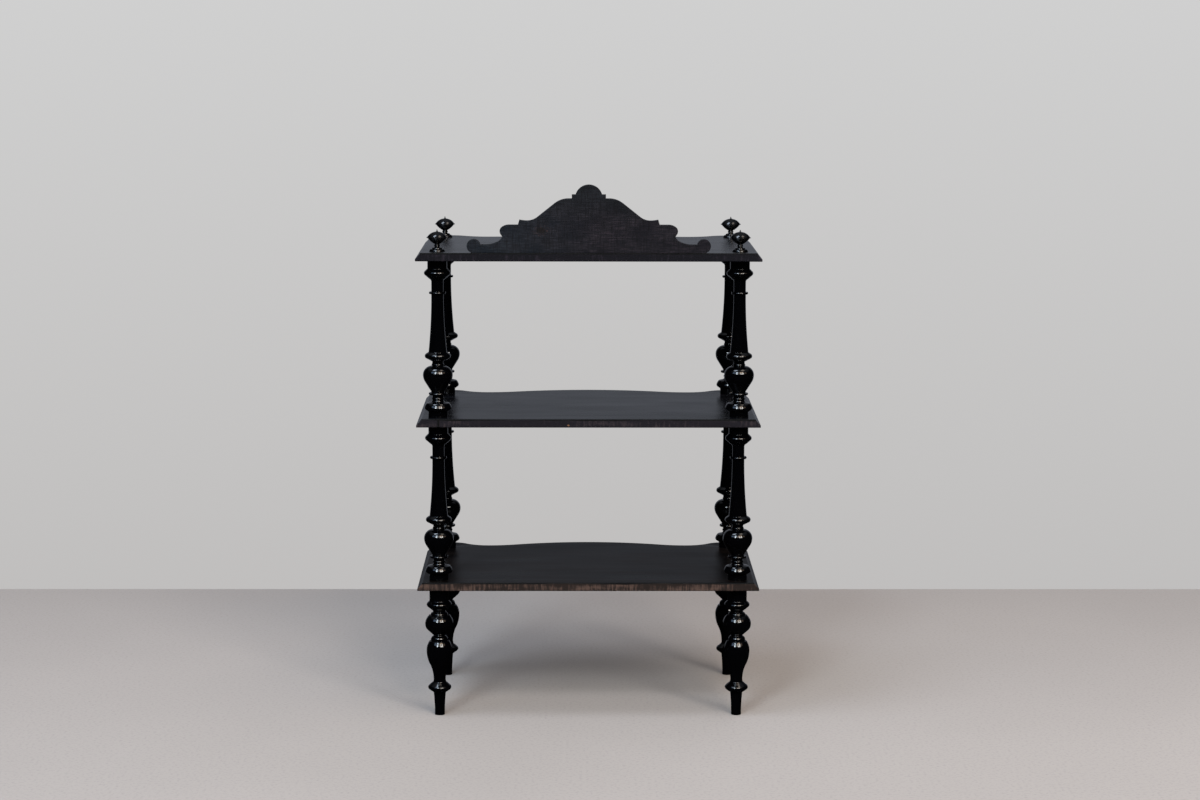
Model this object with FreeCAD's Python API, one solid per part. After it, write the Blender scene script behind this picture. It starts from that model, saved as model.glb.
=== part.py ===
import FreeCAD, Part
import math
import os

from FreeCAD import Vector

# An ebonised etagere: three serpentine boards on four turned posts, with finials and a fretted crest.
# Millimetres. +X runs along the boards, +Y towards their bowed front, +Z up.
# The origin is on the floor, under the middle of the boards' footprint.

# --- Boards -------------------------------------------------------------------------------------
board_wide = 650.0          # end to end, over the lips
board_deep = 420.0          # straight back edge to the lip at the middle of the bow
board_thick = 16.0
lip_tall = 4.5              # square lip under the moulding
mould_wide = 10.0           # how far the hollow moulding runs in from the lip
mould_hollow = 1.2          # depth of its hollow
dip_from_end = 125.0        # the lowest point of each dip in the front, from the board's end
dip_depth = 36.0            # how far the dip lies behind the middle of the bow
dip_inner_r = 144.0         # the dip's curve on the bow's side
corner_r = 50.0             # rounded front corners
corner_back = 3.5           # how far the corners lie behind the middle of the bow

# --- Places of the posts and heights of the tiers -------------------------------------------------
post_from_end = 40.0        # post axis to the board's end
post_from_back = 36.0       # back posts' axis to the back edge
post_from_front = 58.0      # front posts' axis to the middle of the bow
leg_tall = 249.0            # floor to the underside of the bottom board
tier_tall = 298.0           # clear height between two boards

# --- Tenons and dowels ----------------------------------------------------------------------------
column_tenon_r = 7.0        # peg turned on the foot of each column
finial_tenon_r = 5.0        # peg turned on the foot of each finial
tenon_grip = 18.0           # how far a peg enters the post below its board
tenon_play = 0.15           # radial clearance of a peg in its hole
tenon_end_gap = 1.5         # glue room under the end of a peg
dowel_r = 3.0               # pegs between the crest and the top board
dowel_grip = 11.0           # how far a dowel enters each of the two
dowel_spacing = 150.0

# --- Mouldings that the turned pieces share ---------------------------------------------------------
crown_tall = 8.0            # rounded crown of a bead, between its two sloping flanks
crown_drop = 2.0            # how far the crown falls to its flanks
block_r = 18.6              # plain cylinders that meet the boards
ring_tall = 4.0             # thin rings with a rounded edge
ring_edge = 1.0             # how much their edge is rounded

# --- Column, from the foot up -----------------------------------------------------------------------
foot_block_tall = 10.0
foot_flank_r = 24.6         # top of the flank under the foot bead
foot_flank_tall = 4.2
foot_bead_r = 25.9
foot_crown_top_r = 25.6     # where the crown passes into a round shoulder
foot_crown_tall = 5.0
foot_shoulder_mid_r = 24.1
foot_shoulder_r = 21.4
foot_shoulder_tall = 7.0
foot_slope_r = 15.2
foot_slope_tall = 1.6
foot_cove_tall = 4.6
low_neck_r = 10.6
neck_bead_tall = 4.6        # small beads on the column's two necks
neck_bead_out = 1.2         # how far they stand out
low_neck_tall = 5.0
low_ring_r = 17.5
notch_r = 12.9
notch_tall = 2.5
urn_cone_r = 24.3           # top of the urn's straight flank
urn_cone_tall = 18.0
urn_r = 28.2
urn_swell_tall = 13.5
urn_neck_r = 10.5
urn_fall_tall = 17.0
urn_neck_tall = 3.9
cup_r = 24.6
cup_below = 6.5
cup_above = 3.5
shaft_low_r = 17.3
shaft_top_r = 11.5
high_ring_r = 15.9
high_neck_r = 11.4
high_neck_tall = 19.0
head_cove_r = 15.0
head_cove_tall = 5.5
head_bead_r = 25.1
head_bead_below = 7.0
head_bead_above = 4.5
head_block_tall = 16.3

# --- Leg, from the floor up ---------------------------------------------------------------------------
foot_r = 9.5
foot_top_r = 11.6
foot_waist_r = 10.0         # at the middle of the tapered foot
ankle_r = 22.2
ankle_below = 6.2
ankle_above = 6.5
ankle_top_r = 12.4
baluster_low_r = 11.5
baluster_hollow_tall = 4.8
baluster_flare_r = 20.0
baluster_flare_tall = 33.0
baluster_r = 24.7
baluster_swell_tall = 24.0
baluster_top_r = 18.8
baluster_fall_tall = 18.5
collar_r = 16.3
collar_tall = 2.7           # upright part of a collar, under its round shoulder
collar_neck_r = 11.0
collar_round = 7.3
ball_neck_tall = 1.0
ball_cone_r = 23.4
ball_cone_tall = 11.5
ball_r = 27.1
ball_swell_tall = 10.5
ball_top_r = 19.5
ball_fall_tall = 17.0
ball_collar_r = 16.4
ball_collar_tall = 1.4
ball_collar_round = 4.6
leg_neck_r = 11.8
leg_neck_tall = 2.5
leg_bead_r = 24.0
leg_bead_below = 8.5
leg_bead_above = 3.5
leg_block_tall = 25.5

# --- Finial, from the foot up ---------------------------------------------------------------------------
finial_foot_r = 15.0
finial_lip_tall = 0.8       # upright edge of its foot
finial_foot_mid_r = 14.2
finial_foot_top_r = 11.6
finial_foot_round = 4.0     # height of the foot's rounding above the lip
finial_fillet_r = 10.0
finial_fillet_top_r = 8.8
finial_fillet_tall = 2.4
finial_slope_r = 6.4
finial_slope_tall = 0.6
finial_stem_r = 4.7
finial_cove_tall = 1.7
finial_bead_out = 1.0       # how far the small bead stands out from the stem
finial_bead_tall = 3.2
finial_flare_r = 7.0
finial_flare_tall = 2.3
finial_bowl_mid_r = 13.8
finial_bowl_top_r = 18.4
finial_bowl_tall = 10.7
finial_rim_r = 20.0
finial_rim_tall = 1.0
finial_dome_r = 18.8
finial_dome_mid_r = 14.6
finial_dome_top_r = 3.4
finial_dome_tall = 10.2
finial_tip_r = 2.4
finial_tip_top_r = 0.7
finial_tip_tall = 4.2

# --- Crest, from the middle outwards ----------------------------------------------------------------------
crest_thick = 14.0
knop_r = 25.8               # round knop in the middle
step_tall = 7.5             # small square steps beside it
step_wide = 6.0
shoulder_flat = 6.2
shoulder_r = 42.0
flank_slope = 38.5          # degrees
flank_length = 41.0
hollow_r = 31.0
horn_sweep_r = 59.0
horn_sweep = 14.0           # degrees
horn_tall = 9.5
horn_side = 2.8
ledge_long = 17.0
nose_top_r = 22.0
nose_top_bend = 40.0        # degrees
nose_tip_r = 8.0
nose_under_r = 12.0
nose_under_bend = 35.0      # degrees
nose_under_long = 4.2
cove_start = 75.0           # degrees
cove_tight_r = 15.0
cove_change = 28.0          # degrees, where the tight curve eases into the wide one
cove_wide_r = 50.0
rail_long = 10.0
rail_tall = 15.6            # height of the low rail beside the end discs
disc_r = 12.8               # round ends of the crest

# --- Levels and places worked out from these ----------------------------------------------------------------
half_wide = board_wide / 2
back_y = -board_deep / 2
front_y = board_deep / 2
bottom_board_z = leg_tall
middle_board_z = bottom_board_z + board_thick + tier_tall
top_board_z = middle_board_z + board_thick + tier_tall
crest_z = top_board_z + board_thick
tenon_long = board_thick + tenon_grip
socket_deep = tenon_grip + tenon_end_gap
crest_middle_y = back_y + crest_thick / 2
post_places = {
    "back_left": (post_from_end - half_wide, back_y + post_from_back),
    "back_right": (half_wide - post_from_end, back_y + post_from_back),
    "front_left": (post_from_end - half_wide, front_y - post_from_front),
    "front_right": (half_wide - post_from_end, front_y - post_from_front),
}
overshoot = 5.0             # how far a cutter runs past the surface that it cuts


def mid_of_arc(centre, radius, start, end):
    """The point half-way along the shorter arc from start to end."""
    outwards = (start + end) * 0.5 - centre
    outwards.normalize()
    return centre + outwards * radius


def upright_radius(run, rise):
    """Radius of the arc that is upright at one end and moves sideways by run over the rise."""
    return (run * run + rise * rise) / (2 * abs(run))


class Turning:
    """Half the outline of a turned piece, drawn from its foot up and then spun round its axis."""

    def __init__(self, z, radius):
        self.at = Vector(0, 0, z)
        self.foot = self.at
        self.edges = []
        self.to(radius, 0)

    def add(self, curve, end):
        self.edges.append(curve.toShape())
        self.at = end
        return self

    def to(self, radius, rise):
        """A straight stretch: a cone, a cylinder or, with no rise, a flat step."""
        end = Vector(radius, 0, self.at.z + rise)
        return self.add(Part.LineSegment(self.at, end), end)

    def arc(self, middle_radius, radius, rise):
        """An arc that has middle_radius half-way up."""
        middle = Vector(middle_radius, 0, self.at.z + rise / 2)
        end = Vector(radius, 0, self.at.z + rise)
        return self.add(Part.Arc(self.at, middle, end), end)

    def swell(self, radius, rise):
        """An arc that ends upright, as a belly does on its way to its widest place."""
        run = radius - self.at.x
        curve_r = upright_radius(run, rise)
        drop = curve_r - math.sqrt(curve_r ** 2 - (rise / 2) ** 2)
        return self.arc(radius - math.copysign(drop, run), radius, rise)

    def fall(self, radius, rise):
        """An arc that starts upright and leaves the widest or narrowest place."""
        run = radius - self.at.x
        curve_r = upright_radius(run, rise)
        drop = curve_r - math.sqrt(curve_r ** 2 - (rise / 2) ** 2)
        return self.arc(self.at.x + math.copysign(drop, run), radius, rise)

    def bead(self, radius, below, above, end_radius):
        """A bead: a sloping flank, a round crown and a second flank."""
        self.to(radius - crown_drop, below)
        self.arc(radius, radius - crown_drop, crown_tall)
        return self.to(end_radius, above)

    def small_bead(self, out, rise):
        """A small round bead on a neck or a stem."""
        return self.arc(self.at.x + out, self.at.x, rise)

    def ring(self, radius, rise, end_radius):
        """A thin ring that stands out square and has a rounded edge."""
        self.to(radius - ring_edge, 0)
        self.arc(radius, radius - ring_edge, rise)
        return self.to(end_radius, 0)

    def solid(self):
        """The piece, standing on the axis of its own frame."""
        top = Vector(0, 0, self.at.z)
        self.to(0, 0)
        self.edges.append(Part.LineSegment(top, self.foot).toShape())
        face = Part.Face(Part.Wire(self.edges))
        return face.revolve(Vector(0, 0, 0), Vector(0, 0, 1), 360)


def tenoned(tenon_r):
    """The start of a piece whose foot seats on a board and whose peg goes through it."""
    return Turning(-tenon_long, tenon_r).to(tenon_r, tenon_long)


def socketed(piece, top_z, tenon_r):
    """The piece with a blind socket bored into its top for the peg above."""
    bore_r = tenon_r + tenon_play
    socket = Part.makeCylinder(bore_r, socket_deep + overshoot, Vector(0, 0, top_z - socket_deep))
    return piece.cut(socket)


def leg_mouldings(leg):
    """Everything on a leg above its tapered foot."""
    leg.bead(ankle_r, ankle_below, ankle_above, ankle_top_r)
    leg.swell(baluster_low_r, baluster_hollow_tall)
    leg.fall(baluster_flare_r, baluster_flare_tall)
    leg.swell(baluster_r, baluster_swell_tall)
    leg.fall(baluster_top_r, baluster_fall_tall)
    leg.to(collar_r, 0)
    leg.to(collar_r, collar_tall)
    leg.fall(collar_neck_r, collar_round)
    leg.to(collar_neck_r, ball_neck_tall)
    leg.to(ball_cone_r, ball_cone_tall)
    leg.swell(ball_r, ball_swell_tall)
    leg.fall(ball_top_r, ball_fall_tall)
    leg.to(ball_collar_r, 0)
    leg.to(ball_collar_r, ball_collar_tall)
    leg.fall(leg_neck_r, ball_collar_round)
    leg.to(leg_neck_r, leg_neck_tall)
    leg.bead(leg_bead_r, leg_bead_below, leg_bead_above, block_r)
    return leg.to(block_r, leg_block_tall)


def make_leg():
    """A turned leg with its foot on the floor. The tapered foot takes up what its mouldings leave."""
    foot_tall = leg_tall - leg_mouldings(Turning(0, foot_top_r)).at.z
    leg = Turning(0, foot_r).arc(foot_waist_r, foot_top_r, foot_tall)
    return socketed(leg_mouldings(leg).solid(), leg_tall, column_tenon_r)


def column_head(column):
    """Everything on a column above its tapered shaft."""
    column.ring(high_ring_r, ring_tall, high_neck_r)
    column.to(high_neck_r, high_neck_tall)
    column.fall(head_cove_r, head_cove_tall)
    column.bead(head_bead_r, head_bead_below, head_bead_above, block_r)
    return column.to(block_r, head_block_tall)


def make_column(socket_tenon_r):
    """A turned column with its foot at zero, its peg below and a socket for the next peg in its top.
    The tapered shaft takes up what the mouldings leave."""
    column = tenoned(column_tenon_r)
    column.to(block_r, 0)
    column.to(block_r, foot_block_tall)
    column.to(foot_flank_r, foot_flank_tall)
    column.arc(foot_bead_r, foot_crown_top_r, foot_crown_tall)
    column.arc(foot_shoulder_mid_r, foot_shoulder_r, foot_shoulder_tall)
    column.to(foot_slope_r, foot_slope_tall)
    column.swell(low_neck_r, foot_cove_tall)
    column.small_bead(neck_bead_out, neck_bead_tall)
    column.to(low_neck_r, low_neck_tall)
    column.ring(low_ring_r, ring_tall, notch_r)
    column.to(notch_r, notch_tall)
    column.to(urn_cone_r, urn_cone_tall)
    column.swell(urn_r, urn_swell_tall)
    column.fall(urn_neck_r, urn_fall_tall)
    column.small_bead(neck_bead_out, neck_bead_tall)
    column.to(urn_neck_r, urn_neck_tall)
    column.bead(cup_r, cup_below, cup_above, shaft_low_r)
    shaft_top_z = tier_tall - column_head(Turning(0, shaft_top_r)).at.z
    column.swell(shaft_top_r, shaft_top_z - column.at.z)
    return socketed(column_head(column).solid(), tier_tall, socket_tenon_r)


def make_finial():
    """A turned finial with its foot at zero and its peg below."""
    finial = tenoned(finial_tenon_r)
    finial.to(finial_foot_r, 0)
    finial.to(finial_foot_r, finial_lip_tall)
    finial.arc(finial_foot_mid_r, finial_foot_top_r, finial_foot_round)
    finial.to(finial_fillet_r, 0)
    finial.fall(finial_fillet_top_r, finial_fillet_tall)
    finial.to(finial_slope_r, finial_slope_tall)
    finial.swell(finial_stem_r, finial_cove_tall)
    finial.small_bead(finial_bead_out, finial_bead_tall)
    finial.fall(finial_flare_r, finial_flare_tall)
    finial.arc(finial_bowl_mid_r, finial_bowl_top_r, finial_bowl_tall)
    finial.to(finial_rim_r, 0)
    finial.to(finial_rim_r, finial_rim_tall)
    finial.to(finial_dome_r, 0)
    finial.arc(finial_dome_mid_r, finial_dome_top_r, finial_dome_tall)
    finial.to(finial_tip_r, 0)
    finial.swell(finial_tip_top_r, finial_tip_tall)
    return finial.solid()


def mirrored(point):
    return Vector(-point.x, point.y, point.z)


def front_curves(inset):
    """The right half of the front as (centre, radius, start, end), from the middle to the end, inset from
    the lip. Neighbouring arcs meet on the line between their centres, so the curve stays smooth."""
    dip_x = half_wide - dip_from_end
    dip_y = front_y - dip_depth
    corner_x = half_wide - corner_r
    corner_y = front_y - corner_back - corner_r
    outer_x = corner_x - dip_x
    outer_y = dip_depth - corner_back
    bow_r = (dip_x ** 2 + dip_depth ** 2) / (2 * dip_depth) - dip_inner_r
    dip_outer_r = (outer_x ** 2 + outer_y ** 2) / (2 * outer_y) - corner_r
    bow_centre = Vector(0, front_y - bow_r, 0)
    inner_centre = Vector(dip_x, dip_y + dip_inner_r, 0)
    outer_centre = Vector(dip_x, dip_y + dip_outer_r, 0)
    corner_centre = Vector(corner_x, corner_y, 0)
    bow_share = (bow_r - inset) / (bow_r + dip_inner_r)
    corner_share = (corner_r - inset) / (corner_r + dip_outer_r)
    middle = Vector(0, front_y - inset, 0)
    bow_end = bow_centre + (inner_centre - bow_centre) * bow_share
    dip = Vector(dip_x, dip_y - inset, 0)
    corner_start = corner_centre + (outer_centre - corner_centre) * corner_share
    corner_end = Vector(half_wide - inset, corner_y, 0)
    return [
        (bow_centre, bow_r - inset, middle, bow_end),
        (inner_centre, dip_inner_r + inset, bow_end, dip),
        (outer_centre, dip_outer_r + inset, dip, corner_start),
        (corner_centre, corner_r - inset, corner_start, corner_end),
    ]


def edge_line(inset, back):
    """The boards' moulded edge as one wire, from the left back corner round to the right back corner."""
    right = []
    left = []
    for centre, radius, start, end in front_curves(inset):
        middle = mid_of_arc(centre, radius, start, end)
        right.append(Part.Arc(start, middle, end).toShape())
        left.insert(0, Part.Arc(mirrored(end), mirrored(middle), mirrored(start)).toShape())
    corner = right[-1].Vertexes[-1].Point
    back_corner = Vector(corner.x, back, 0)
    right.append(Part.LineSegment(corner, back_corner).toShape())
    left.insert(0, Part.LineSegment(mirrored(back_corner), mirrored(corner)).toShape())
    return Part.Wire(left + right)


def mould_cutter():
    """What the hollow moulding takes off the front and both ends, swept along the lip's line."""
    spine_start = Vector(-half_wide, back_y - overshoot, 0)
    lip = spine_start + Vector(0, 0, lip_tall)
    arris = spine_start + Vector(mould_wide, 0, board_thick)
    slope = arris - lip
    inwards = Vector(slope.z, 0, -slope.x)
    inwards.normalize()
    hollow = (lip + arris) * 0.5 + inwards * mould_hollow
    above = arris + Vector(0, 0, overshoot)
    beyond = Vector(lip.x - overshoot, lip.y, above.z)
    outside = Vector(lip.x - overshoot, lip.y, lip.z)
    section = [Part.Arc(lip, hollow, arris).toShape()]
    corners = [arris, above, beyond, outside, lip]
    for start, end in zip(corners, corners[1:]):
        section.append(Part.LineSegment(start, end).toShape())
    sweep = Part.BRepOffsetAPI.MakePipeShell(edge_line(0, back_y - overshoot))
    sweep.setBiNormalMode(Vector(0, 0, 1))
    sweep.add(Part.Wire(section))
    sweep.build()
    sweep.makeSolid()
    return sweep.shape()


def make_board(bore_r):
    """A moulded board with its underside at zero and a hole of bore_r through it at each post."""
    front = edge_line(0, back_y)
    corners = [front.Vertexes[0].Point, front.Vertexes[-1].Point]
    back = Part.LineSegment(corners[1], corners[0]).toShape()
    plate = Part.Face(Part.Wire(front.Edges + [back])).extrude(Vector(0, 0, board_thick))
    board = plate.cut(mould_cutter())
    for x, y in post_places.values():
        board = board.cut(Part.makeCylinder(bore_r, board_thick + 2 * overshoot, Vector(x, y, -overshoot)))
    return board


class Walk:
    """An outline in the XZ plane, drawn by walking along it. Heading 0 is outwards and 90 is up."""

    def __init__(self):
        self.at = Vector(0, 0, 0)
        self.heading = 0.0
        self.edges = []

    def add(self, curve, end):
        self.edges.append(curve.toShape())
        self.at = end

    def line_to(self, x, z):
        end = Vector(x, 0, z)
        self.add(Part.LineSegment(self.at, end), end)

    def ahead(self, length):
        angle = math.radians(self.heading)
        self.line_to(self.at.x + length * math.cos(angle), self.at.z + length * math.sin(angle))

    def on_circle(self, centre, radius, degrees):
        angle = math.radians(degrees)
        return Vector(centre.x + radius * math.cos(angle), 0, centre.z + radius * math.sin(angle))

    def bend(self, radius, degrees):
        """A tangent arc: upwards for positive degrees and downwards for negative ones."""
        side = math.copysign(90, degrees)
        centre = self.on_circle(self.at, radius, self.heading + side)
        start = self.heading - side
        middle = self.on_circle(centre, radius, start + degrees / 2)
        end = self.on_circle(centre, radius, start + degrees)
        self.add(Part.Arc(self.at, middle, end), end)
        self.heading += degrees


def make_crest():
    """The fretted crest, standing on the top board with its back flush with the boards' back edges."""
    half = Walk()
    half.bend(knop_r, -math.degrees(math.acos(step_tall / knop_r)))
    half.line_to(knop_r + step_wide, half.at.z)
    half.line_to(half.at.x, half.at.z - step_tall)
    half.heading = 0
    half.ahead(shoulder_flat)
    half.bend(shoulder_r, -flank_slope)
    half.ahead(flank_length)
    half.bend(hollow_r, flank_slope)
    half.bend(horn_sweep_r, horn_sweep)
    half.line_to(half.at.x + horn_side, half.at.z - horn_tall)
    half.heading = 0
    half.ahead(ledge_long)
    half.bend(nose_top_r, -nose_top_bend)
    half.bend(nose_tip_r, nose_top_bend - 90)
    half.bend(nose_under_r, -nose_under_bend)
    half.ahead(nose_under_long)
    half.heading = -cove_start
    half.bend(cove_tight_r, cove_start - cove_change)
    half.bend(cove_wide_r, cove_change)
    half.ahead(rail_long)
    foot_z = half.at.z - rail_tall
    disc_x = half.at.x + math.sqrt(disc_r ** 2 - (rail_tall - disc_r) ** 2)
    disc_outside = Vector(disc_x + disc_r, 0, foot_z + disc_r)
    disc_foot = Vector(disc_x, 0, foot_z)
    half.add(Part.Arc(half.at, disc_outside, disc_foot), disc_foot)
    half.line_to(0, foot_z)
    other_half = [edge.mirror(Vector(0, 0, 0), Vector(1, 0, 0)) for edge in half.edges]
    outline = Part.Wire(Part.__sortEdges__(half.edges + other_half))
    crest = Part.Face(outline).extrude(Vector(0, crest_thick, 0))
    crest.translate(Vector(0, back_y, crest_z - foot_z))
    return crest


def make_dowels(radius, below, above):
    """The three pegs between the crest and the top board, or the bores for them."""
    pegs = []
    for x in (-dowel_spacing, 0, dowel_spacing):
        foot = Vector(x, crest_middle_y, crest_z - below)
        pegs.append(Part.makeCylinder(radius, below + above, foot))
    return Part.makeCompound(pegs)


def write(name, shape):
    shape.exportStep("parts/" + name + ".step")


def moved(shape, x, y, z):
    copy = shape.copy()
    copy.translate(Vector(x, y, z))
    return copy


os.makedirs("parts", exist_ok=True)

dowel_bores = make_dowels(dowel_r + tenon_play, dowel_grip + tenon_end_gap, dowel_grip + tenon_end_gap)
column_board = make_board(column_tenon_r + tenon_play)
finial_board = make_board(finial_tenon_r + tenon_play)
write("shelf_bottom", moved(column_board, 0, 0, bottom_board_z))
write("shelf_middle", moved(column_board, 0, 0, middle_board_z))
write("shelf_top", moved(finial_board, 0, 0, top_board_z).cut(dowel_bores))
write("crest", make_crest().cut(dowel_bores))
write("crest_dowels", make_dowels(dowel_r, dowel_grip, dowel_grip))

turned_pieces = {
    "leg": (make_leg(), 0),
    "lower_column": (make_column(column_tenon_r), bottom_board_z + board_thick),
    "upper_column": (make_column(finial_tenon_r), middle_board_z + board_thick),
    "finial": (make_finial(), crest_z),
}
for piece, (shape, level) in turned_pieces.items():
    for place, (x, y) in post_places.items():
        write(piece + "_" + place, moved(shape, x, y, level))
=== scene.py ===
import math

import bmesh
import bpy
from mathutils import Matrix, Vector


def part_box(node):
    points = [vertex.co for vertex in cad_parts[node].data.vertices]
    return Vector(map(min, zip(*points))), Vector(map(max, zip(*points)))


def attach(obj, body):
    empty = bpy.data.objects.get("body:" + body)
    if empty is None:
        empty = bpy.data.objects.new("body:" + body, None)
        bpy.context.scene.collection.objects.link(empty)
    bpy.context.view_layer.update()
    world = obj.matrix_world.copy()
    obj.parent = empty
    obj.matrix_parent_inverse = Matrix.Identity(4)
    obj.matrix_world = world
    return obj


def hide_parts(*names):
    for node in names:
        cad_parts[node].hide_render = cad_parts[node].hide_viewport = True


# An ebonised etagere, seen from behind: three serpentine boards with moulded edges on four turned posts,
# with finials and a fretted crest. Pieces are drawn in millimetres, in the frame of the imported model.
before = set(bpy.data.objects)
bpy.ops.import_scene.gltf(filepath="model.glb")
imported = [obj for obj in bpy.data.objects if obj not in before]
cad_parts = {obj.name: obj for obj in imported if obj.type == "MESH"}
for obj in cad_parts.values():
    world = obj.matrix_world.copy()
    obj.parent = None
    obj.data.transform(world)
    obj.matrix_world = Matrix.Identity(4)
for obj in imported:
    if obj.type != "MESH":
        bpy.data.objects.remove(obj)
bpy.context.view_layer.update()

MM = 0.001
SAG = 0.02                  # how far a drawn arc may cut inside the true one
WIDEST_STEP = math.radians(6)
CORNER = math.radians(10)   # a sharper turn than this in a line is a corner
ROUND_STEPS = 96            # facets round a turned piece
BORE_STEPS = 48             # facets round a bored hole
NEAR = 0.01                 # a point this close to a place counts as being there
MERGE = 0.001               # points closer than this become one
QUARTER_ROUND = ((0.29, 0.71), (0.71, 0.29))    # how far its two chords run and rise, at a radius of one
ALONG_X, ALONG_Y, ALONG_Z = Vector((1, 0, 0)), Vector((0, 1, 0)), Vector((0, 0, 1))


# --- Drawing lines and sweeping them ------------------------------------------------------------------

def arc_steps(radius, angle):
    """How many chords an arc needs to look round."""
    step = min(WIDEST_STEP, 2 * math.sqrt(2 * SAG / radius))
    return max(2, math.ceil(abs(angle) / step))


def only(kind, geom):
    """The vertices, edges or faces among what an operator gives back."""
    return [part for part in geom if isinstance(part, kind)]


class Profile:
    """A line in the XZ plane, drawn by pulling a single vertex along. X is the radius of a turned piece."""

    def __init__(self, x, z):
        self.bm = bmesh.new()
        self.tip = self.bm.verts.new((x, 0, z))

    def to(self, x, z):
        self.tip = bmesh.ops.extrude_vert_indiv(self.bm, verts=[self.tip])["verts"][0]
        self.tip.co = x, 0, z

    def up(self, x, rise):
        """A straight stretch: a cone, a cylinder or, with no rise, a flat step."""
        self.to(x, self.tip.co.z + rise)

    def arc(self, middle_x, x, rise):
        """An arc that has middle_x half-way up."""
        start = self.tip.co.copy()
        middle = Vector((middle_x, 0, start.z + rise / 2))
        end = Vector((x, 0, start.z + rise))
        chords = Matrix([[(p - start).x, (p - start).z] for p in (middle, end)])
        half_squares = Vector([(p.length_squared - start.length_squared) / 2 for p in (middle, end)])
        across, upward = chords.inverted() @ half_squares
        centre = Vector((across, 0, upward))
        first, last = start - centre, end - centre
        angle = first.angle(last) * math.copysign(1, last.cross(first).y)
        grown = bmesh.ops.spin(self.bm, geom=[self.tip], cent=centre, axis=-ALONG_Y, angle=angle,
                               steps=arc_steps(first.length, angle), use_merge=False)
        self.tip = only(bmesh.types.BMVert, grown["geom_last"])[0]

    def belly(self, start_x, x, rise):
        """How far the arc that is upright at one end lies from that end, half-way up."""
        run = x - start_x
        radius = (run * run + rise * rise) / (2 * abs(run))
        return math.copysign(radius - math.sqrt(radius ** 2 - (rise / 2) ** 2), run)

    def swell(self, x, rise):
        """An arc that ends upright, as a belly does on its way to its widest place."""
        self.arc(x - self.belly(self.tip.co.x, x, rise), x, rise)

    def fall(self, x, rise):
        """An arc that starts upright and leaves the widest or narrowest place."""
        start_x = self.tip.co.x
        self.arc(start_x + self.belly(start_x, x, rise), x, rise)

    def bead(self, x, below, above, end_x):
        """A bead: a sloping flank, a round crown and a second flank."""
        self.up(x - CROWN_DROP, below)
        self.arc(x, x - CROWN_DROP, CROWN_TALL)
        self.up(end_x, above)

    def small_bead(self, out, rise):
        """A small round bead on a neck or a stem."""
        neck_x = self.tip.co.x
        self.arc(neck_x + out, neck_x, rise)

    def ring(self, x, end_x):
        """A thin ring that stands out square and has a rounded edge."""
        self.up(x - RING_EDGE, 0)
        self.arc(x, x - RING_EDGE, RING_TALL)
        self.up(end_x, 0)

    def soften(self, offset):
        """Rubs the corners of the line down, as sandpaper and polish do."""
        corners = [v for v in self.bm.verts if len(v.link_edges) == 2 and v.calc_edge_angle() > CORNER]
        bmesh.ops.bevel(self.bm, geom=corners, offset=offset, offset_type="OFFSET", segments=3,
                        profile=0.5, affect="VERTICES", material=-1, clamp_overlap=True)


class Sweep:
    """Drags what it is given along a path of straight runs and tangent bends, square to an axis."""

    def __init__(self, bm, geom, at, direction, axis):
        self.bm, self.geom = bm, geom
        self.at, self.direction, self.axis = at.copy(), direction.copy(), axis

    def drag(self, centre, angle, move, steps):
        grown = bmesh.ops.spin(self.bm, geom=self.geom, cent=centre, axis=self.axis, dvec=move,
                               angle=angle, steps=steps, use_merge=False)
        self.geom = grown["geom_last"]

    def to(self, point):
        self.drag(self.at, 0, point - self.at, 1)
        self.at = point.copy()

    def ahead(self, length):
        self.to(self.at + self.direction * length)

    def bend(self, radius, degrees):
        """A tangent arc, to the left for positive degrees."""
        angle = math.radians(degrees)
        centre = self.at + self.axis.cross(self.direction) * math.copysign(radius, degrees)
        self.drag(centre, angle, (0, 0, 0), arc_steps(radius, angle))
        turn = Matrix.Rotation(angle, 3, self.axis)
        self.at = centre + turn @ (self.at - centre)
        self.direction = turn @ self.direction


def ease_face(bm, face, ease):
    """Rounds the arris all round a flat face by a quarter round; the face moves out by its radius."""
    for run, out in QUARTER_ROUND:
        bmesh.ops.inset_individual(bm, faces=[face], thickness=ease * run, depth=ease * out,
                                   use_even_offset=True)


def make_piece(bm, name, node, materials):
    """Turns a drawing in millimetres into a piece that stands for its CAD node."""
    bmesh.ops.scale(bm, vec=(MM, MM, MM), verts=bm.verts)
    mesh = bpy.data.meshes.new(name)
    bm.to_mesh(mesh)
    bm.free()
    mesh.shade_smooth()
    for material in materials:
        mesh.materials.append(material)
    piece = bpy.data.objects.new(name, mesh)
    bpy.context.scene.collection.objects.link(piece)
    normals = piece.modifiers.new("even shading", "WEIGHTED_NORMAL")
    normals.keep_sharp = True
    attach(piece, "root")
    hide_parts(node)


# --- Turned pieces ------------------------------------------------------------------------------------

CROWN_TALL, CROWN_DROP = 8.0, 2.0      # rounded crown of a bead, and how far it falls to its flanks
RING_TALL, RING_EDGE = 4.0, 1.0
POST_EASE, FINIAL_EASE = 0.45, 0.25    # how far polish has rubbed the corners down
BLOCK_R = 18.6                         # plain cylinders that meet the boards
BOARD_TALL = 16.0
PEG_GRIP, GLUE_GAP, PEG_PLAY = 18.0, 1.5, 0.15
COLUMN_PEG_R, FINIAL_PEG_R = 7.0, 5.0
POSTS = ("back_left", "back_right", "front_left", "front_right")
LEG_TALL, COLUMN_TALL = 249.0, 298.0


def start_on_peg(peg_r):
    """A piece's foot with the peg that goes through the board into the post below."""
    peg_long = BOARD_TALL + PEG_GRIP
    line = Profile(0, -peg_long)
    line.up(peg_r, 0)
    line.up(peg_r, peg_long)
    return line


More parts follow.
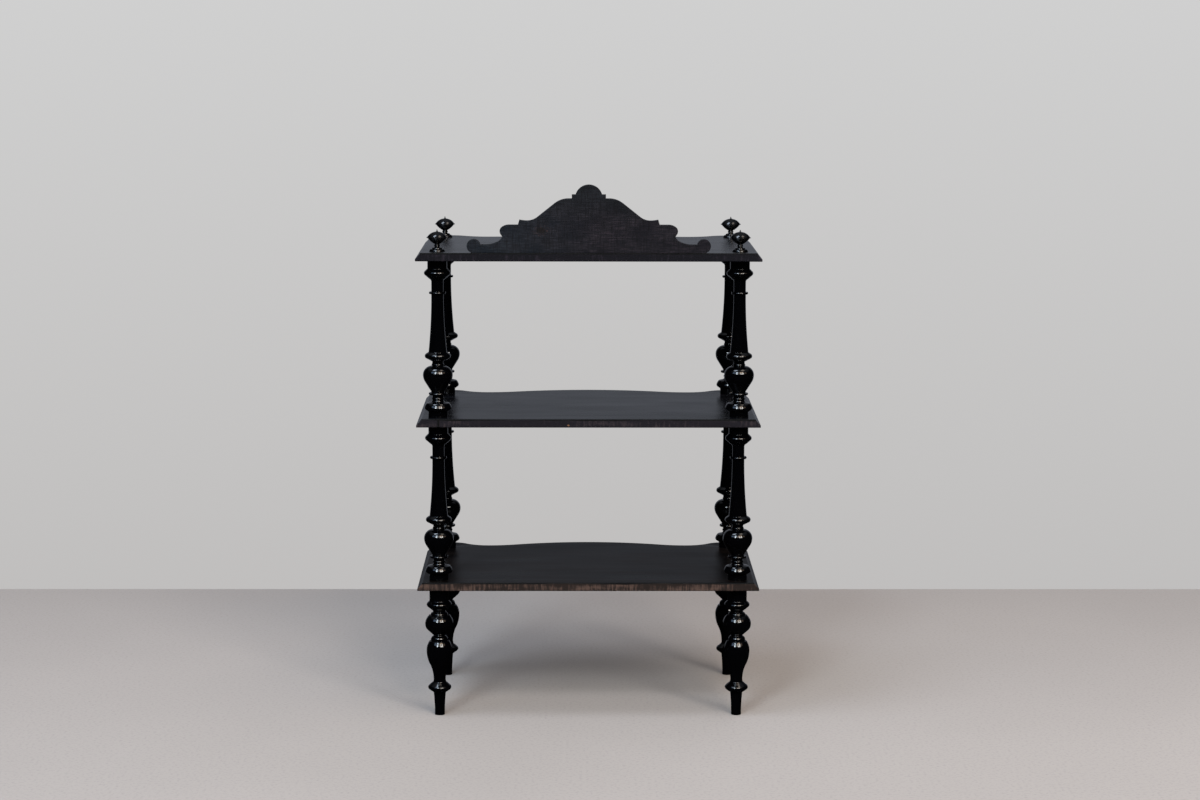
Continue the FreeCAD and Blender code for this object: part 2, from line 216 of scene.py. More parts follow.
def end_in_socket(line, peg_r):
    """The top face and the blind socket for the next peg."""
    line.up(peg_r + PEG_PLAY, 0)
    line.up(peg_r + PEG_PLAY, -PEG_GRIP - GLUE_GAP)
    line.up(0, 0)


def draw_leg():
    leg = Profile(0, 0)
    leg.up(9.5, 0)
    leg.arc(10.0, 11.6, 44.0)                           # tapered foot
    leg.bead(22.2, below=6.2, above=6.5, end_x=12.4)    # ankle
    leg.swell(11.5, 4.8)
    leg.fall(20.0, 33.0)                                # baluster
    leg.swell(24.7, 24.0)
    leg.fall(18.8, 18.5)
    leg.up(16.3, 0)
    leg.up(16.3, 2.7)                                   # collar
    leg.fall(11.0, 7.3)
    leg.up(11.0, 1.0)
    leg.up(23.4, 11.5)                                  # ball
    leg.swell(27.1, 10.5)
    leg.fall(19.5, 17.0)
    leg.up(16.4, 0)
    leg.up(16.4, 1.4)                                   # collar
    leg.fall(11.8, 4.6)
    leg.up(11.8, 2.5)
    leg.bead(24.0, below=8.5, above=3.5, end_x=BLOCK_R)
    leg.up(BLOCK_R, LEG_TALL - leg.tip.co.z)
    end_in_socket(leg, COLUMN_PEG_R)
    return leg


def draw_column(socket_peg_r):
    column = start_on_peg(COLUMN_PEG_R)
    column.up(BLOCK_R, 0)
    column.up(BLOCK_R, 10.0)
    column.up(24.6, 4.2)                                # foot bead, with a round shoulder
    column.arc(25.9, 25.6, 5.0)
    column.arc(24.1, 21.4, 7.0)
    column.up(15.2, 1.6)
    column.swell(10.6, 4.6)
    column.small_bead(1.2, 4.6)
    column.up(10.6, 5.0)
    column.ring(17.5, end_x=12.9)
    column.up(12.9, 2.5)
    column.up(24.3, 18.0)                               # urn
    column.swell(28.2, 13.5)
    column.fall(10.5, 17.0)
    column.small_bead(1.2, 4.6)
    column.up(10.5, 3.9)
    column.bead(24.6, below=6.5, above=3.5, end_x=17.3)   # cup
    column.swell(11.5, 110.2)                           # tapered shaft
    column.ring(15.9, end_x=11.4)
    column.up(11.4, 19.0)
    column.fall(15.0, 5.5)
    column.bead(25.1, below=7.0, above=4.5, end_x=BLOCK_R)
    column.up(BLOCK_R, COLUMN_TALL - column.tip.co.z)
    end_in_socket(column, socket_peg_r)
    return column


def draw_finial():
    finial = start_on_peg(FINIAL_PEG_R)
    finial.up(15.0, 0)
    finial.up(15.0, 0.8)
    finial.arc(14.2, 11.6, 4.0)                         # foot
    finial.up(10.0, 0)
    finial.fall(8.8, 2.4)                               # fillet
    finial.up(6.4, 0.6)
    finial.swell(4.7, 1.7)                              # stem
    finial.small_bead(1.0, 3.2)
    finial.fall(7.0, 2.3)
    finial.arc(13.8, 18.4, 10.7)                        # bowl
    finial.up(20.0, 0)
    finial.up(20.0, 1.0)                                # rim
    finial.up(18.8, 0)
    finial.arc(14.6, 3.4, 10.2)                         # dome
    finial.up(2.4, 0)
    finial.swell(0.7, 4.2)                              # tip
    finial.up(0, 0)
    return finial


def turn(line, softness, kind, material):
    """Spins the outline into a turned piece and stands one on the axis of each of its four nodes."""
    line.soften(softness)
    turned = line.bm
    bmesh.ops.spin(turned, geom=turned.verts[:] + turned.edges[:], cent=(0, 0, 0), axis=ALONG_Z,
                   angle=math.tau, steps=ROUND_STEPS, use_merge=True)
    bmesh.ops.remove_doubles(turned, verts=turned.verts, dist=MERGE)
    bmesh.ops.recalc_face_normals(turned, faces=turned.faces)
    top = max(v.co.z for v in turned.verts)
    for side in POSTS:
        node = kind + "_" + side
        low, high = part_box(node)
        place = Vector(((low.x + high.x) / 2, (low.y + high.y) / 2, high.z)) / MM
        bm = turned.copy()
        bmesh.ops.translate(bm, vec=place - ALONG_Z * top, verts=bm.verts)
        make_piece(bm, "turned_" + node, node, [material])
    turned.free()


# --- Boards -------------------------------------------------------------------------------------------

BOARD_WIDE, BOARD_DEEP = 650.0, 420.0
LIP_TALL, MOULD_WIDE, MOULD_HOLLOW = 4.5, 10.0, 1.2
DIP_FROM_END, DIP_DEPTH, DIP_INNER_R = 125.0, 36.0, 144.0
CORNER_R, CORNER_BACK = 50.0, 3.5
POST_X, BACK_POST_Y, FRONT_POST_Y = 285.0, -174.0, 152.0
MOULD_EASE = 0.9            # rubbed corners of the moulding
BACK_EASE = 1.4             # worn arris of the sawn back edge
RIM_FLAT = 3.0              # how much of the flat faces is swept with the moulding


def draw_moulding():
    """Section of the moulded edge at a board's left end, from the underside round to the top."""
    half = BOARD_WIDE / 2
    inner = MOULD_WIDE + RIM_FLAT
    section = Profile(inner - half, 0)
    section.to(-half, 0)
    section.to(-half, LIP_TALL)
    slope = Vector((MOULD_WIDE, 0, BOARD_TALL - LIP_TALL))
    inwards = slope.cross(ALONG_Y).normalized()
    middle = Vector((-half, 0, LIP_TALL)) + slope / 2 - inwards * MOULD_HOLLOW
    section.arc(middle.x, MOULD_WIDE - half, slope.z)
    section.to(inner - half, BOARD_TALL)
    section.soften(MOULD_EASE)
    return section


def level_edges(bm, z):
    """The edges at this height that still lack a face."""
    return [e for e in bm.edges if len(e.link_faces) < 2 and all(abs(v.co.z - z) < NEAR for v in e.verts)]


def sweep_front(bm, back):
    """Drags the section of the moulding up one end, round the serpentine front and down the other end."""
    dip_x = BOARD_WIDE / 2 - DIP_FROM_END
    bow_and_dip = (dip_x ** 2 + DIP_DEPTH ** 2) / (2 * DIP_DEPTH)
    bow_turn = math.degrees(math.asin(dip_x / bow_and_dip))
    outer_x, outer_y = DIP_FROM_END - CORNER_R, DIP_DEPTH - CORNER_BACK
    dip_and_corner = (outer_x ** 2 + outer_y ** 2) / (2 * outer_y)
    corner_turn = math.degrees(math.asin(outer_x / dip_and_corner))
    straight = BOARD_DEEP / 2 - CORNER_BACK - CORNER_R - back
    start = Vector((-BOARD_WIDE / 2, back, 0))
    front = Sweep(bm, bm.verts[:] + bm.edges[:], start, ALONG_Y, ALONG_Z)
    front.ahead(straight)
    front.bend(CORNER_R, -90 - corner_turn)
    front.bend(dip_and_corner - CORNER_R, corner_turn)
    front.bend(DIP_INNER_R, bow_turn)
    front.bend(bow_and_dip - DIP_INNER_R, -2 * bow_turn)
    front.bend(DIP_INNER_R, bow_turn)
    front.bend(dip_and_corner - CORNER_R, corner_turn)
    front.bend(CORNER_R, -90 - corner_turn)
    front.ahead(straight)


def bore_holes(bm, peg_r):
    """The walls of the four holes for the pegs."""
    for x in (-POST_X, POST_X):
        for y in (BACK_POST_Y, FRONT_POST_Y):
            rim = bmesh.ops.create_circle(bm, segments=BORE_STEPS, radius=peg_r + PEG_PLAY,
                                          matrix=Matrix.Translation((x, y, 0)))["verts"]
            rim_edges = list(dict.fromkeys(e for v in rim for e in v.link_edges))
            bore = Sweep(bm, rim + rim_edges, Vector((x, y, 0)), ALONG_Z, ALONG_Y)
            bore.ahead(BOARD_TALL)


def make_board(node, peg_r, polish, back_edge):
    """A board: its moulded edge swept, its holes bored, then its two faces and its sawn back filled in."""
    back = BACK_EASE - BOARD_DEEP / 2
    bm = draw_moulding().bm
    bmesh.ops.translate(bm, vec=(0, back, 0), verts=bm.verts)
    sweep_front(bm, back)
    inner_x = BOARD_WIDE / 2 - MOULD_WIDE - RIM_FLAT + NEAR
    for z in (0, BOARD_TALL):
        ends = [v for v in bm.verts
                if v.co.y < back + NEAR and abs(v.co.x) < inner_x and abs(v.co.z - z) < NEAR]
        bmesh.ops.contextual_create(bm, geom=ends)
    bore_holes(bm, peg_r)
    for z, outwards in ((0, -ALONG_Z), (BOARD_TALL, ALONG_Z)):
        bmesh.ops.triangle_fill(bm, edges=level_edges(bm, z), use_beauty=True, use_dissolve=False,
                                normal=outwards)
    open_edges = [e for e in bm.edges if len(e.link_faces) < 2]
    sawn = bmesh.ops.contextual_create(bm, geom=open_edges)["faces"][0]
    sawn.material_index = 1
    bmesh.ops.recalc_face_normals(bm, faces=bm.faces)
    ease_face(bm, sawn, BACK_EASE)
    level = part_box(node)[0].z / MM
    bmesh.ops.translate(bm, vec=(0, 0, level), verts=bm.verts)
    make_piece(bm, "moulded_" + node, node, [polish, back_edge])


# --- Crest --------------------------------------------------------------------------------------------

CREST_THICK, CREST_EASE = 14.0, 0.6
KNOP_R, STEP_TALL, STEP_WIDE = 25.8, 7.5, 6.0
DISC_R, RAIL_TALL = 12.8, 15.6


def make_crest(node, material, sawn_edge):
    """The fretted crest: half its outline from the knop down, mirrored, filled and given its thickness."""
    bm = bmesh.new()
    half = Sweep(bm, [bm.verts.new((0, 0, 0))], Vector(), ALONG_X, -ALONG_Y)
    half.bend(KNOP_R, -math.degrees(math.acos(STEP_TALL / KNOP_R)))
    half.to(Vector((KNOP_R + STEP_WIDE, 0, half.at.z)))
    half.to(half.at - ALONG_Z * STEP_TALL)
    half.direction = ALONG_X.copy()
    half.ahead(6.2)                     # shoulder
    half.bend(42.0, -38.5)
    half.ahead(41.0)                    # sloping flank
    half.bend(31.0, 38.5)
    half.bend(59.0, 14.0)               # horn
    half.to(half.at + Vector((2.8, 0, -9.5)))
    half.direction = ALONG_X.copy()
    half.ahead(17.0)                    # ledge
    half.bend(22.0, -40.0)              # nose
    half.bend(8.0, -50.0)
    half.bend(12.0, -35.0)
    half.ahead(4.2)
    half.direction = Matrix.Rotation(math.radians(-75.0), 3, -ALONG_Y) @ ALONG_X
    half.bend(15.0, 47.0)               # cove, tight and then wide
    half.bend(50.0, 28.0)
    half.ahead(10.0)                    # low rail
    foot_z = half.at.z - RAIL_TALL
    disc_x = half.at.x + math.sqrt(DISC_R ** 2 - (RAIL_TALL - DISC_R) ** 2)
    centre = Vector((disc_x, 0, foot_z + DISC_R))
    start_angle = math.atan2(half.at.z - centre.z, half.at.x - centre.x)
    angle = -math.pi / 2 - start_angle
    half.drag(centre, angle, (0, 0, 0), arc_steps(DISC_R, angle))
    half.at = Vector((disc_x, 0, foot_z))
    half.to(Vector((0, 0, foot_z)))
    bmesh.ops.mirror(bm, geom=bm.verts[:] + bm.edges[:], matrix=Matrix.Identity(4), merge_dist=MERGE,
                     axis="X")
    back = bmesh.ops.contextual_create(bm, geom=bm.edges[:])["faces"][0]
    grown = bmesh.ops.extrude_face_region(bm, geom=[back])["geom"]
    bmesh.ops.translate(bm, vec=(0, CREST_THICK - 2 * CREST_EASE, 0), verts=only(bmesh.types.BMVert, grown))
    bmesh.ops.recalc_face_normals(bm, faces=bm.faces)
    flats = [f for f in bm.faces if abs(f.normal.y) > 0.9]
    for face in bm.faces:
        face.material_index = 0 if face in flats else 1
    for face in flats:
        ease_face(bm, face, CREST_EASE)
    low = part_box(node)[0] / MM
    bmesh.ops.translate(bm, vec=(0, low.y + CREST_EASE, low.z - foot_z), verts=bm.verts)
    make_piece(bm, "fretted_crest", node, [material, sawn_edge])


# --- Materials ----------------------------------------------------------------------------------------

def colour(hex_value):
    """An sRGB hex colour as the linear one that a socket takes."""
    channels = [int(hex_value[i:i + 2], 16) / 255 for i in (1, 3, 5)]
    linear = [c / 12.92 if c <= 0.04045 else ((c + 0.055) / 1.055) ** 2.4 for c in channels]
    return (*linear, 1.0)


def add_node(tree, kind, inputs=(), **settings):
    """Adds a node and returns its first output in use. Its inputs, by name or in their order, get a value, a
    hex colour or, where they are given another node's output, a link."""
    node = tree.nodes.new("ShaderNode" + kind)
    for name, value in settings.items():
        setattr(node, name, value)
    if isinstance(inputs, dict):
        fed = [(node.inputs[name], value) for name, value in inputs.items()]
    else:
        fed = zip([socket for socket in node.inputs if socket.enabled], inputs)
    for socket, value in fed:
        if isinstance(value, bpy.types.NodeSocket):
            tree.links.new(value, socket)
        else:
            socket.default_value = colour(value) if isinstance(value, str) else value
    return next((socket for socket in node.outputs if socket.enabled), None)


def new_material(name, **shader_inputs):
    """A material whose shader has these values; returns its tree, its shader and its object coordinates."""
    material = bpy.data.materials.new(name)
    material.use_nodes = True
    tree = material.node_tree
    shader = tree.nodes["Principled BSDF"]
    for key, value in shader_inputs.items():
        shader.inputs[key.replace("_", " ")].default_value = value
    return material, tree, shader, add_node(tree, "TexCoord").node.outputs["Object"]


def grain(tree, place, size_mm, detail=3.0, rough=0.5):
    """Noise whose features are size_mm across in X, Y and Z."""
    spread = add_node(tree, "Mapping", {"Vector": place, "Scale": [1 / (s * MM) for s in size_mm]})
    return add_node(tree, "TexNoise", {"Vector": spread, "Scale": 1.0, "Detail": detail,
                                       "Roughness": rough})


def spot(tree, place, centre, size):
    """One inside a rounded spot, given in mm, and zero outside it."""
    local = add_node(tree, "Mapping", {"Vector": place, "Scale": [1 / (s * MM) for s in size],
                                       "Location": [-c / s for c, s in zip(centre, size)]})
    reach = add_node(tree, "VectorMath", [local], operation="LENGTH")
    return add_node(tree, "MapRange", [reach, 0.6, 1.0, 1.0, 0.0])


def finish_wood(tree, shader, tone, roughness, reliefs):
    """Gives the shader its colour, its roughness and its relief, stacked from (height, depth in mm)."""
    tree.links.new(tone, shader.inputs["Base Color"])
    tree.links.new(roughness, shader.inputs["Roughness"])
    normal = None
    for height, depth_mm in reliefs:
        inputs = {"Height": height, "Distance": depth_mm * MM, "Strength": 1.0}
        if normal:
            inputs["Normal"] = normal
        normal = add_node(tree, "Bump", inputs)
    tree.links.new(normal, shader.inputs["Normal"])


# In the lists below, MapRange is given a value, the range that it comes from and the range that it is held
# to; Mix is given a share, the colour at a share of none and the colour at a full share.

def make_turned_polish():
    # Turned hardwood, stained black and French-polished: near black, with sharp lamp reflections that
    # the tool's faint rings and the closed pores break up a little.
    material, tree, shader, place = new_material("ebonised_turned_french_polish", IOR=1.5)
    stain = grain(tree, place, (9, 9, 60))
    tone = add_node(tree, "Mix", [stain, "#010102", "#030304"], data_type="RGBA")
    handling = grain(tree, place, (22, 22, 30))
    roughness = add_node(tree, "MapRange", [handling, 0.3, 0.7, 0.04, 0.10])
    rings = grain(tree, place, (400, 400, 2.4))
    pores = grain(tree, place, (0.8, 0.8, 9), detail=1.0)
    finish_wood(tree, shader, tone, roughness, [(rings, 0.02), (pores, 0.006)])
    return material


def make_board_polish(name, sheen, roughness, dark, light):
    # Flat board, stained black and polished: dull black with a cool haze where it mirrors the wall. Short
    # fibres and faint year bands run along it, drawn a little broader than real ones so that they show, and
    # the hand-planed face waves a little.
    material, tree, shader, place = new_material(name, IOR=1.5, Specular_IOR_Level=sheen)
    bands = grain(tree, place, (170, 22, 30), detail=4.0, rough=0.6)
    fibres = grain(tree, place, (38, 2.2, 4), detail=3.0, rough=0.6)
    patches = grain(tree, place, (260, 90, 90))
    banded = add_node(tree, "MapRange", [bands, 0.38, 0.62, 0.0, 1.0])
    stain = add_node(tree, "Mix", [banded, dark, light], data_type="RGBA")
    fibrous = add_node(tree, "MapRange", [fibres, 0.42, 0.62, 0.0, 0.7])
    tone = add_node(tree, "Mix", [fibrous, stain, dark], data_type="RGBA")
    worn = add_node(tree, "MapRange", [patches, 0.35, 0.65, roughness - 0.02, roughness + 0.03])
    streaks = add_node(tree, "MapRange", [bands, 0.35, 0.65, -0.02, 0.02])
    total = add_node(tree, "Math", [worn, streaks], operation="ADD")
    finish_wood(tree, shader, tone, total, [(patches, 0.05)])
    return material


def make_sawn_edge(name, node, stained, bare, wear, marks=()):
    # Sawn long edge of a board, stained thinly and rubbed: upright saw marks, more bare wood between them
    # the higher the wear, a thin near-black line under the upper arris that is partly black polish run over
    # it and partly painted shade of the arris, and single marks of its own, each with its place, its size
    # and its tone.
    material, tree, shader, place = new_material(name, IOR=1.5, Specular_IOR_Level=0.15)
    saw = grain(tree, place, (2.0, 30, 24), detail=3.0, rough=0.8)
    strokes = grain(tree, place, (5, 30, 30), detail=3.0)
    rubbed = grain(tree, place, (60, 20, 14), detail=4.0)
    scored = add_node(tree, "Math", [saw, strokes], operation="ADD")
    mixed = add_node(tree, "Math", [scored, rubbed], operation="ADD")
    bared = add_node(tree, "MapRange", [mixed, 1.75 - wear, 1.99 - wear, 0.0, 1.0])
    worn = add_node(tree, "Mix", [bared, stained, bare], data_type="RGBA")
    waver = add_node(tree, "MapRange", [rubbed, 0.3, 0.7, -1.2 * MM, 1.2 * MM])
    height = add_node(tree, "SeparateXYZ", [place]).node.outputs["Z"]
    ragged = add_node(tree, "Math", [waver, height], operation="ADD")
    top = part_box(node)[1].z
    # Painted shade: a near-black line just under the upper arris, partly black polish run over it.
    polish_and_arris_shade = add_node(tree, "MapRange", [ragged, top - 3.1 * MM, top - 1.9 * MM, 0.0, 1.0])
    tone = add_node(tree, "Mix", [polish_and_arris_shade, worn, "#040405"], data_type="RGBA")
    for centre, size, mark_tone in marks:
        mark = spot(tree, place, centre, size)
        tone = add_node(tree, "Mix", [mark, tone, mark_tone], data_type="RGBA")
    roughness = add_node(tree, "MapRange", [rubbed, 0.3, 0.7, 0.5, 0.75])
    finish_wood(tree, shader, tone, roughness, [(saw, 0.25)])
    return material


def make_crest_stain(knot):
    # Thin crest board, stained black and left matt, with painted light in its tone: bluer towards the left,
    # where cool light falls, and warmer towards the right, where warm light falls; darker and bluer at the
    # knop; with short level grain, faint plane marks across it and a little brown round a small knot.
    material, tree, shader, place = new_material("crest_matt_black_stain", IOR=1.5, Specular_IOR_Level=0.15)
    fibres = grain(tree, place, (24, 6, 2.4), detail=4.0, rough=0.7)
    plane_marks = grain(tree, place, (2.6, 6, 30), detail=3.0, rough=0.6)
    patches = grain(tree, place, (60, 30, 30), detail=3.0)
    flecks = grain(tree, place, (4, 5, 2.2), detail=2.0, rough=0.6)
    split = add_node(tree, "SeparateXYZ", [place]).node.outputs
    # Painted cool light to the left and warm light to the right, in both the stain and the worn streaks.
    side = add_node(tree, "MapRange", [split["X"], -160 * MM, 20 * MM, 0.0, 1.0])
    high = add_node(tree, "MapRange", [split["Z"], 950 * MM, 1000 * MM, 0.0, 1.0])
    stain_and_lit_base = add_node(tree, "Mix", [side, "#0c131b", "#0d0c13"], data_type="RGBA")
    base = add_node(tree, "Mix", [high, stain_and_lit_base, "#080b10"], data_type="RGBA")
    worn_and_lit_tint = add_node(tree, "Mix", [side, "#262c33", "#2d262d"], data_type="RGBA")
    worn = add_node(tree, "Mix", [high, worn_and_lit_tint, "#1d2228"], data_type="RGBA")
    patchy = add_node(tree, "MapRange", [patches, 0.40, 0.62, 0.0, 0.6])
    stain = add_node(tree, "Mix", [patchy, base, "#1a191e"], data_type="RGBA")
    fibrous = add_node(tree, "MapRange", [fibres, 0.46, 0.68, 0.0, 1.0])
    rubbed = add_node(tree, "MapRange", [patches, 0.38, 0.58, 0.3, 1.0])
    streaky = add_node(tree, "Math", [fibrous, rubbed], operation="MULTIPLY")
    streaks = add_node(tree, "Mix", [streaky, stain, worn], data_type="RGBA")
    planed = add_node(tree, "MapRange", [plane_marks, 0.46, 0.66, 0.0, 0.75])
    hatch = add_node(tree, "Mix", [planed, streaks, "#07070b"], data_type="RGBA")
    swirl = spot(tree, place, knot, (20, 60, 12))
    flecked = add_node(tree, "MapRange", [flecks, 0.54, 0.66, 0.0, 0.5])
    loose = add_node(tree, "Math", [swirl, flecked], operation="MULTIPLY")
    knotty = add_node(tree, "Mix", [loose, hatch, "#4a3128"], data_type="RGBA")
    heart = spot(tree, place, knot, (11, 60, 7))
    dark_heart = add_node(tree, "Math", [heart, 0.7], operation="MULTIPLY")
    tone = add_node(tree, "Mix", [dark_heart, knotty, "#0d0908"], data_type="RGBA")
    roughness = add_node(tree, "MapRange", [fibres, 0.3, 0.7, 0.5, 0.65])
    finish_wood(tree, shader, tone, roughness, [(fibres, 0.1)])
    return material


def make_crest_edge():
    # Fretsawn edge of the crest, stained darker than its face, with fine marks across the thickness.
    material, tree, shader, place = new_material("crest_fretsawn_edge", IOR=1.5, Specular_IOR_Level=0.3)
    saw = grain(tree, place, (1.2, 12, 1.2), detail=2.0)
    tone = add_node(tree, "Mix", [saw, "#070708", "#121012"], data_type="RGBA")
    roughness = add_node(tree, "MapRange", [saw, 0.3, 0.7, 0.4, 0.55])
    finish_wood(tree, shader, tone, roughness, [(saw, 0.05)])
    return material


def make_beech():
    # Bare beech dowel rod: pale pinkish wood with short darker flecks along it.
    material, tree, shader, place = new_material("bare_beech_dowel", IOR=1.5)
    flecks = grain(tree, place, (0.8, 0.8, 5), detail=2.0)
    tone = add_node(tree, "Mix", [flecks, "#c79d73", "#d9b48c"], data_type="RGBA")
    roughness = add_node(tree, "MapRange", [flecks, 0.3, 0.7, 0.5, 0.65])
    finish_wood(tree, shader, tone, roughness, [(flecks, 0.03)])
    return material


# --- The etagere --------------------------------------------------------------------------------------

turned_polish = make_turned_polish()
turn(draw_leg(), POST_EASE, "leg", turned_polish)
turn(draw_column(COLUMN_PEG_R), POST_EASE, "lower_column", turned_polish)
turn(draw_column(FINIAL_PEG_R), POST_EASE, "upper_column", turned_polish)
turn(draw_finial(), FINIAL_EASE, "finial", turned_polish)

# Single marks on the back, in millimetres: a crack and a chip, each with its place, its size and its
# tone, and the place of a knot.
CRACK = ((-283, -210, 571), (2.3, 8, 18), "#020202")
CHIP = ((-38, -210, 567.5), (2.6, 4, 1.8), "#6b4d38")
KNOT = (-89, -210, 935)
make_board("shelf_bottom", COLUMN_PEG_R,
           make_board_polish("bottom_board_black_polish", 0.03, 0.30, "#050404", "#151110"),
           make_sawn_edge("bottom_board_worn_sawn_edge", "shelf_bottom", "#231b18", "#4e3d36", 0.25))
make_board("shelf_middle", COLUMN_PEG_R,
           make_board_polish("middle_board_black_polish", 0.14, 0.24, "#040406", "#15161a"),
           make_sawn_edge("middle_board_sawn_edge", "shelf_middle", "#17141a", "#30292c", 0.19,
                          [CRACK, CHIP]))
make_board("shelf_top", FINIAL_PEG_R,
           make_board_polish("top_board_black_polish", 1.0, 0.25, "#060608", "#1a1b20"),
           make_sawn_edge("top_board_sawn_edge", "shelf_top", "#0c0b12", "#1f1b23", 0.19))
make_crest("crest", make_crest_stain(KNOT), make_crest_edge())
beech = make_beech()
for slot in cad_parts["crest_dowels"].material_slots:
    slot.material = beech


# --- Floor, background, lamps and camera ----------------------------------------------------------------

FLOOR_NEAR, FLOOR_FAR, FLOOR_SIDE = -4.6, 0.99, 4.0     # metres; the floor ends at the foot of the wall
FADE_START, FADE_END = 3.0, 4.0
LAMP_AWAY, LAMP_AIM = 12.0, 0.5                         # metres from the stand; the height they point at


def make_floor():
    bm = bmesh.new()
    bmesh.ops.create_grid(bm, x_segments=8, y_segments=8, size=1.0)
    bmesh.ops.scale(bm, vec=(FLOOR_SIDE, (FLOOR_FAR - FLOOR_NEAR) / 2, 1), verts=bm.verts)
    bmesh.ops.translate(bm, vec=(0, (FLOOR_FAR + FLOOR_NEAR) / 2, 0), verts=bm.verts)
    mesh = bpy.data.meshes.new("floor")
    bm.to_mesh(mesh)
    bm.free()
    # Pale power-floated concrete, matt: painted shade makes it a little darker towards the wall; it is
    # nearly black where the polish mirrors it, and it fades out into the background on its open sides.
    material, tree, shader, place = new_material("pale_concrete_floor", Roughness=0.8,
                                                 Specular_IOR_Level=0.0)
    cloud = grain(tree, place, (900, 900, 900), detail=4.0)
    speck = grain(tree, place, (6, 6, 6), detail=2.0)
    cloudy = add_node(tree, "Mix", [cloud, "#a49e9a", "#b1aaa6"], data_type="RGBA")
    gritty = add_node(tree, "MapRange", [speck, 0.5, 0.75, 0.0, 0.5])
    specked = add_node(tree, "Mix", [gritty, cloudy, "#928e8b"], data_type="RGBA")
    away = add_node(tree, "SeparateXYZ", [place]).node.outputs["Y"]
    # Painted shade: the floor darkens towards the wall, which keeps light from it.
    painted_wall_shade = add_node(tree, "MapRange", [away, -0.4, 0.95, 0.0, 0.4])
    tone = add_node(tree, "Mix", [painted_wall_shade, specked, "#8c8683"], data_type="RGBA")
    mirrored = add_node(tree, "LightPath").node.outputs["Is Glossy Ray"]
    seen = add_node(tree, "Mix", [mirrored, tone, "#0e0e0e"], data_type="RGBA")
    tree.links.new(seen, shader.inputs["Base Color"])
    reach = add_node(tree, "VectorMath", [place], operation="LENGTH")
    shown = add_node(tree, "MapRange", [reach, FADE_START, FADE_END, 1.0, 0.0])
    clear = add_node(tree, "BsdfTransparent")
    mix = add_node(tree, "MixShader", [shown, clear, shader.outputs[0]])
    tree.links.new(mix, tree.nodes["Material Output"].inputs["Surface"])
    mesh.materials.append(material)
    floor = bpy.data.objects.new("floor", mesh)
    bpy.context.scene.collection.objects.link(floor)


def make_background():
    """A pale wall for the camera and, behind the stand, for reflections; a dim room elsewhere."""
    world = bpy.data.worlds.new("pale_room")
    bpy.context.scene.world = world
    world.use_nodes = True
    tree = world.node_tree
    tree.nodes.clear()
    rays = add_node(tree, "LightPath").node.outputs
    direction = add_node(tree, "TexCoord").node.outputs["Generated"]
    split = add_node(tree, "SeparateXYZ", [direction]).node.outputs
    raised = add_node(tree, "MapRange", [split["Z"], -0.24, 0.02, 0.0, 1.0])
    wall = add_node(tree, "Mix", [raised, "#bdbbba", "#d1d1d1"], data_type="RGBA")
    behind = add_node(tree, "MapRange", [split["Y"], 0.72, 1.0, 0.0, 1.0])
    overhead = add_node(tree, "MapRange", [split["Z"], 0.55, 0.95, 0.0, 1.0])
    room = add_node(tree, "Mix", [overhead, "#0b0c0e", "#84888e"], data_type="RGBA")
    mirrored = add_node(tree, "Mix", [behind, room, "#82868f"], data_type="RGBA")
    mirror_rays = add_node(tree, "Math", [rays["Is Glossy Ray"], rays["Is Transmission Ray"]],
                           operation="MAXIMUM")
    lighting = add_node(tree, "Mix", [mirror_rays, "#8c8c8e", mirrored], data_type="RGBA")
    seen = add_node(tree, "Mix", [rays["Is Camera Ray"], lighting, wall], data_type="RGBA")
    background = add_node(tree, "Background", {"Color": seen, "Strength": 1.0})
    add_node(tree, "OutputWorld", [background])


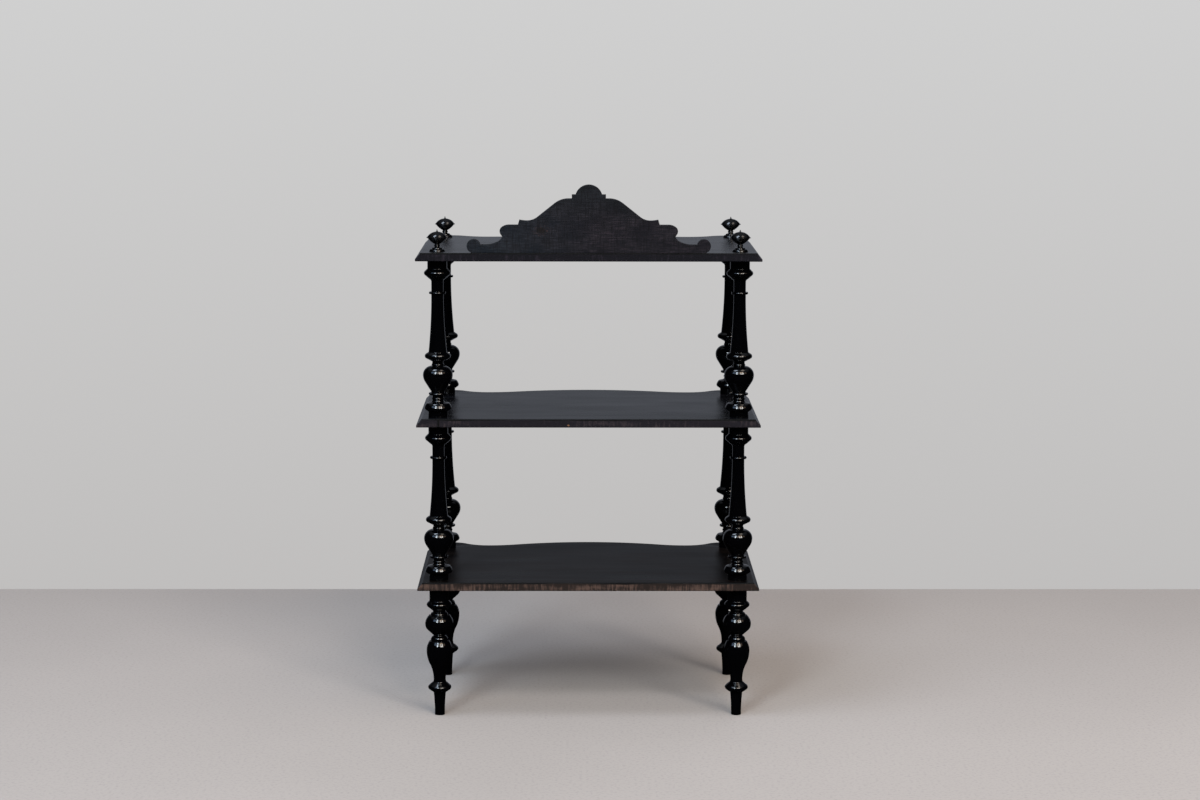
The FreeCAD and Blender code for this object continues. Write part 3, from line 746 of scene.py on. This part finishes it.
def add_lamp(name, azimuth, elevation, wide, tall, radiance, tint):
    """A far lamp, placed and sized by angles seen from the stand (0, 0 is straight behind it, level). Its
    power is worked out from how bright its face looks. Returns the lamp's object."""
    lamp = bpy.data.lights.new(name, "AREA")
    lamp.shape = "RECTANGLE"
    lamp.size, lamp.size_y = [2 * LAMP_AWAY * math.tan(math.radians(a) / 2) for a in (wide, tall)]
    lamp.energy = radiance * math.pi * lamp.size * lamp.size_y
    lamp.color = colour(tint)[:3]
    holder = bpy.data.objects.new(name, lamp)
    heading = Matrix.Rotation(math.radians(azimuth), 4, "Z")
    tilt = Matrix.Rotation(math.radians(90 - elevation), 4, "X")
    aim, away = Matrix.Translation((0, 0, LAMP_AIM)), Matrix.Translation((0, 0, LAMP_AWAY))
    holder.matrix_world = aim @ heading @ tilt @ away
    bpy.context.scene.collection.objects.link(holder)
    return holder


def make_camera():
    """A long lens well behind the stand and a little above its top, looking down on it."""
    camera_data = bpy.data.cameras.new("camera")
    camera_data.lens = 84.0
    camera_data.sensor_width = 36.0
    camera_data.sensor_fit = "HORIZONTAL"
    camera_data.clip_end = 50.0
    camera = bpy.data.objects.new("camera", camera_data)
    stand_point = Matrix.Translation((-0.0267, -5.428, 1.353))
    heading = Matrix.Rotation(math.radians(-0.529), 4, "Z")
    tilt = Matrix.Rotation(math.radians(81.96), 4, "X")
    roll = Matrix.Rotation(math.radians(0.116), 4, "Z")
    camera.matrix_world = stand_point @ heading @ tilt @ roll
    bpy.context.scene.collection.objects.link(camera)
    bpy.context.scene.camera = camera


make_floor()
make_background()
add_lamp("cool_window_top", -21, 46, 10, 10, 20.0, "#dcefff")
add_lamp("cool_window_low", -20, 30, 10, 11, 24.0, "#e0f2ff")
add_lamp("pale_wall", 2, 37, 56, 22, 2.2, "#fff6ee")
add_lamp("cool_haze", -45, 38, 22, 18, 2.5, "#b8d8ff")
add_lamp("warm_window_top", 24, 48, 24, 5, 9.0, "#ffdcb8")
add_lamp("warm_window_low", 24, 27, 24, 7, 14.0, "#fffcf6")
add_lamp("warm_window_left", 14, 37, 6, 14, 12.0, "#fff2e2")
add_lamp("warm_window_right", 33, 37, 8, 14, 14.0, "#fffcf6")
add_lamp("warm_haze", 52, 34, 20, 14, 1.2, "#ffe0c4")
add_lamp("cool_ceiling", -62, 70, 16, 20, 9.0, "#dcecff")
add_lamp("warm_ceiling", 66, 68, 20, 14, 3.0, "#fff0e0")
front_haze = add_lamp("front_haze", 160, 50, 44, 26, 1.4, "#f2f6ff")
front_haze.visible_glossy = False       # mirrored in the finials, it would break up their outline
make_camera()
bpy.context.scene.view_settings.view_transform = "Standard"
